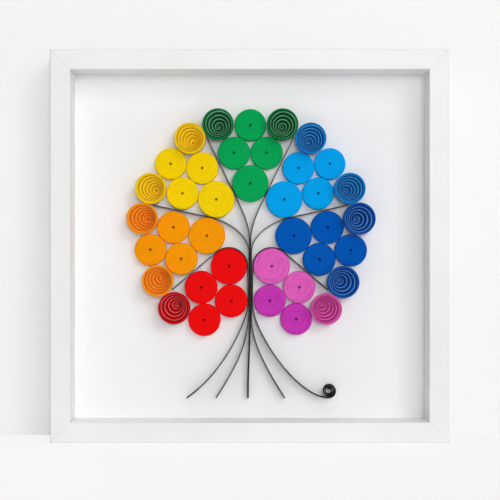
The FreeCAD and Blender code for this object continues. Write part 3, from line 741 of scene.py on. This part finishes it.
def cup_mesh(name, radius, height, lean, sizes, eye, rng):
    """A roll pushed out to a leaning stepped cone, rim to the front."""
    wobble = 0.00014
    groove_from, groove_to = 0.66, 0.95  # shares of a step's width
    rim_turns = 0.12  # turns over which the rim's colour ends
    steps = sizes.steps + (math.hypot(*lean) > sizes.far_lean)
    fine = len(CUP_STEP)
    spiral = fine * (steps + 1)
    core = sizes.core / 2
    inner = radius - sizes.rim
    rise = (height - sizes.paper_width) / steps
    columns = sizes.columns
    start = rng.uniform(0, 2 * math.pi)
    wander = wander_along(rng, steps + 2)
    rim_profile = ((0.0, 0.0005), (0.08, 0.0002), (0.24, 0.00004), (0.5, 0.0), (0.8, 0.00003))
    core_profile = ((0.35, 0.00008), (0.6, 0.00002), (0.85, 0.0001), (1.0, 0.0003))
    points = []
    edges = []
    outers = []

    def add(angle, back, r, h, share, edge, outer):
        h = max(0.0, h - sizes.paper_width) if back else h
        points.append((lean[0] * share + r * math.cos(angle), -h,
                       lean[1] * share + r * math.sin(angle)))
        edges.append(edge)
        outers.append(outer)

    def column(j, back):
        angle = start + 2 * math.pi * j / columns
        round_share = j / columns
        for inward, fall in rim_profile:
            add(angle, back, radius - sizes.rim * inward, height - fall, 0.0, 0.0, 1.0)
        for k in range(spiral + 1):
            step, part = divmod(k, fine)
            across, down, edge = CUP_STEP[part]
            turn = step + across - 1 + round_share
            t = min(float(steps), max(0.0, turn))
            free = min(1.0, t * 3, (steps - t) * 3)
            level = min(float(steps), max(0.0, step + down - 1 + round_share))
            groove = sizes.groove * (groove_from < across < groove_to) * free
            bump = wobble * wander(max(0.0, turn)) * free
            add(angle, back, inner - (inner - core) * t / steps,
                height - rise * level * min(1.0, t * 2.5) - groove + bump,
                t / steps, edge * free, 1.0 - ease(t / rim_turns))
        for inward, fall in core_profile:
            # The flat core takes a little of the ridge colour: pale edge with painted highlight
            add(angle, back, core + (eye - core) * inward, sizes.paper_width - fall, 1.0, 0.3, 0.0)

    for j in range(columns):
        column(j, False)
        column(j, True)
    lead = len(rim_profile)
    size = lead + spiral + 1 + len(core_profile)
    stride = 2 * size
    faces = []
    for j in range(columns):
        seam = j == columns - 1
        here = j * stride
        there = 0 if seam else here + stride
        for shift, flip in ((0, False), (size, True)):
            for k in range(size - 1):
                a, b = k, k + 1
                if seam and lead <= k < lead + spiral:
                    a = min(lead + spiral, k + fine)
                    b = min(lead + spiral, k + 1 + fine)
                elif seam and k == lead - 1:
                    b = lead + fine
                face = [here + k + shift, here + k + 1 + shift, there + b + shift]
                if a != b:
                    face.append(there + a + shift)
                faces.append(tuple(reversed(face)) if flip else tuple(face))
        faces.append((here, there, there + size, here + size))
        last = size - 1
        faces.append((here + last, here + last + size, there + last + size, there + last))
    return finished_mesh(name, points, faces, CUP_CREASE, paper_edge=edges, outer_turns=outers)


def give_material(names, material):
    """The finish of CAD nodes that keep their shape."""
    for name in names:
        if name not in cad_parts:
            raise RuntimeError("no CAD node named " + name)
        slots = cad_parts[name].data.materials
        slots.clear()
        slots.append(material)


# Operators

class QUILL_OT_roll_coils(Operator):
    """Rolls the flat coils of the seven colours"""

    bl_idname = "quill.roll_coils"
    bl_label = "Roll Flat Coils"

    def execute(self, context):
        shades = context.scene.quill_papers
        sizes = context.scene.quill_coils
        rng = random.Random(COIL_SEED)
        for colour in COLOURS:
            depth = PINK_RING_SHADE_DEPTH if colour == "pink" else RING_SHADE_DEPTH
            finish = coil_material(
                colour + " coil", tuple(getattr(shades, colour)), shades.eye, depth)
            deep = finish
            if colour == "pink":
                deep = coil_material("deep pink coil", tuple(shades.pink_deep), shades.eye, depth)
            for node in nodes_named(colour + "_"):
                if not node.endswith("_coil"):
                    continue
                middle, radius, height = coil_place(node)
                mesh = flat_coil_mesh(node, radius, height, sizes, rng)
                chosen = deep if node.split("_")[1] == "outer" or "inner_b" in node else finish
                add_piece(node, mesh, chosen, middle)
        return {"FINISHED"}


class QUILL_OT_push_cups(Operator):
    """Pushes the end coils of the clusters out into stepped cups"""

    bl_idname = "quill.push_cups"
    bl_label = "Push Out Cups"

    def execute(self, context):
        shades = context.scene.quill_papers
        sizes = context.scene.quill_cups
        eye = context.scene.quill_coils.eye / 2
        rng = random.Random(CUP_SEED)
        for colour in COLOURS:
            finish = cup_material(
                colour + " cup",
                *(tuple(getattr(shades, colour + part)) for part in ("_cup", "_ridge", "_rim")))
            for node in nodes_named(colour + "_cup"):
                middle, radius, height = coil_place(node)
                mesh = cup_mesh(node, radius, height, foot_lean(node), sizes, eye, rng)
                add_piece(node, mesh, finish, middle)
        return {"FINISHED"}


class QUILL_OT_finish_strips(Operator):
    """Gives the strips of trunk, branches and roots their dark paper"""

    bl_idname = "quill.finish_strips"
    bl_label = "Finish Dark Strips"

    def execute(self, context):
        dark = strip_material(tuple(context.scene.quill_papers.dark))
        give_material(nodes_named("strip_"), dark)
        return {"FINISHED"}


class QUILL_OT_paint_frame(Operator):
    """Paints the four rails of the box frame"""

    bl_idname = "quill.paint_frame"
    bl_label = "Paint Box Frame"

    def execute(self, context):
        finish = context.scene.quill_finish
        give_material(RAILS, paint_material(tuple(finish.paint), tuple(finish.joint)))
        return {"FINISHED"}


class QUILL_OT_finish_back(Operator):
    """Gives the card, the board and the steel fittings their finish"""

    bl_idname = "quill.finish_back"
    bl_label = "Finish Card And Back"

    def execute(self, context):
        finish = context.scene.quill_finish
        give_material(["backing_card"], card_material(tuple(finish.card)))
        board = board_material(tuple(finish.board), tuple(finish.board_fleck))
        give_material(["back_panel"], board)
        steel = tuple(finish.steel)
        give_material(["back_points", "corner_v_nails"],
                      metal_material("Bright steel", steel, toned(steel, 0.75)))
        brass = tuple(finish.brass)
        give_material(["hanger", "hanger_nails"],
                      metal_material("Brass plated steel", brass, toned(brass, 0.8)))
        return {"FINISHED"}


class QUILL_OT_set_stage(Operator):
    """Sets the floor, the wall, the lamps and the camera"""

    bl_idname = "quill.set_stage"
    bl_label = "Set Stage"

    def execute(self, context):
        scene = context.scene
        stage = scene.quill_stage
        low, high = frame_box()
        middle = Vector((0.0, low.y, (low.z + high.z) / 2))
        ground = tuple(stage.ground)
        reach = STAGE_REACH
        add_plane("floor", [(-reach, -reach, 0), (reach, -reach, 0), (reach, reach, 0),
                            (-reach, reach, 0)], ground_material("Pale floor", ground, FLOOR_GLOW))
        back = Vector(cad_bounds[1]).y + WALL_GAP
        add_plane("wall", [(-reach, back, 0), (reach, back, 0), (reach, back, reach),
                           (-reach, back, reach)],
                  ground_material("Pale wall", ground, WALL_GLOW, from_front_only=True))
        for name, angles, distance, size in LAMPS:
            add_lamp(name, middle, angles, distance, size, getattr(stage, name + "_power"))
        add_world(stage.sky_strength)
        add_camera(middle, stage)
        scene.view_settings.view_transform = "Standard"
        return {"FINISHED"}


def add_plane(name, corners, material):
    """A flat piece of the stage."""
    mesh = bpy.data.meshes.new(name)
    mesh.from_pydata(corners, [], [(0, 1, 2, 3)])
    mesh.materials.append(material)
    plane = bpy.data.objects.new(name, mesh)
    bpy.context.scene.collection.objects.link(plane)


def add_lamp(name, target, angles, distance, size, power):
    """A square soft lamp aimed at the target, given angles to the right and up in degrees."""
    across, up = (math.radians(v) for v in angles)
    away = Vector((math.sin(across) * math.cos(up), -math.cos(across) * math.cos(up), math.sin(up)))
    data = bpy.data.lights.new(name, "AREA")
    data.size = size
    data.energy = power
    lamp = bpy.data.objects.new(name, data)
    lamp.location = target + away * distance
    lamp.rotation_euler = away.to_track_quat("Z", "Y").to_euler()
    bpy.context.scene.collection.objects.link(lamp)


def add_world(strength):
    """Even light from all round, and plain white where the camera sees past the stage."""
    world = bpy.data.worlds.new("Room")
    world.use_nodes = True
    tree = world.node_tree
    light = tree.nodes["Background"]
    seen = seen_directly(tree)
    tree.links.new(remap(tree, seen, 0.0, 1.0, strength, 1.0), light.inputs["Strength"])
    light.inputs["Color"].default_value = (1.0, 1.0, 1.0, 1.0)
    bpy.context.scene.world = world


def add_camera(middle, stage):
    """A camera straight in front of the middle of the frame."""
    data = bpy.data.cameras.new("camera")
    data.sensor_width = SENSOR_WIDTH
    data.lens = SENSOR_WIDTH * stage.camera_distance / stage.view_width
    data.shift_x, data.shift_y = CAMERA_SHIFT
    data.clip_start = 0.01
    camera = bpy.data.objects.new("camera", data)
    camera.location = middle + Vector((0.0, -stage.camera_distance, 0.0))
    camera.rotation_euler = (math.radians(90), 0.0, 0.0)
    bpy.context.scene.collection.objects.link(camera)
    bpy.context.scene.camera = camera


class QUILL_PT_sidebar(Panel):
    """Sizes, colours and steps of the quilled tree"""

    bl_idname = "QUILL_PT_sidebar"
    bl_label = "Quilled Tree"
    bl_space_type = "VIEW_3D"
    bl_region_type = "UI"
    bl_category = "Quilling"

    def draw(self, context):
        layout = self.layout
        for title, name, group in GROUPS:
            box = layout.box()
            box.label(text=title)
            for field in group.__annotations__:
                box.prop(getattr(context.scene, name), field)
        for step in STEPS:
            layout.operator(step.bl_idname)


GROUPS = (
    ("Papers", "quill_papers", PaperShades),
    ("Flat coils", "quill_coils", CoilSizes),
    ("Cups", "quill_cups", CupSizes),
    ("Frame and back", "quill_finish", FrameFinish),
    ("Stage", "quill_stage", StageSettings),
)
STEPS = (
    QUILL_OT_roll_coils,
    QUILL_OT_push_cups,
    QUILL_OT_finish_strips,
    QUILL_OT_paint_frame,
    QUILL_OT_finish_back,
    QUILL_OT_set_stage,
)


def register():
    for _, name, group in GROUPS:
        bpy.utils.register_class(group)
        setattr(bpy.types.Scene, name, PointerProperty(type=group))
    for item in (*STEPS, QUILL_PT_sidebar):
        bpy.utils.register_class(item)


def unregister():
    for item in (QUILL_PT_sidebar, *reversed(STEPS)):
        bpy.utils.unregister_class(item)
    for _, name, group in reversed(GROUPS):
        delattr(bpy.types.Scene, name)
        bpy.utils.unregister_class(group)


def main():
    register()
    bpy.ops.quill.roll_coils()
    bpy.ops.quill.push_cups()
    bpy.ops.quill.finish_strips()
    bpy.ops.quill.paint_frame()
    bpy.ops.quill.finish_back()
    bpy.ops.quill.set_stage()


if __name__ == "__main__":
    main()
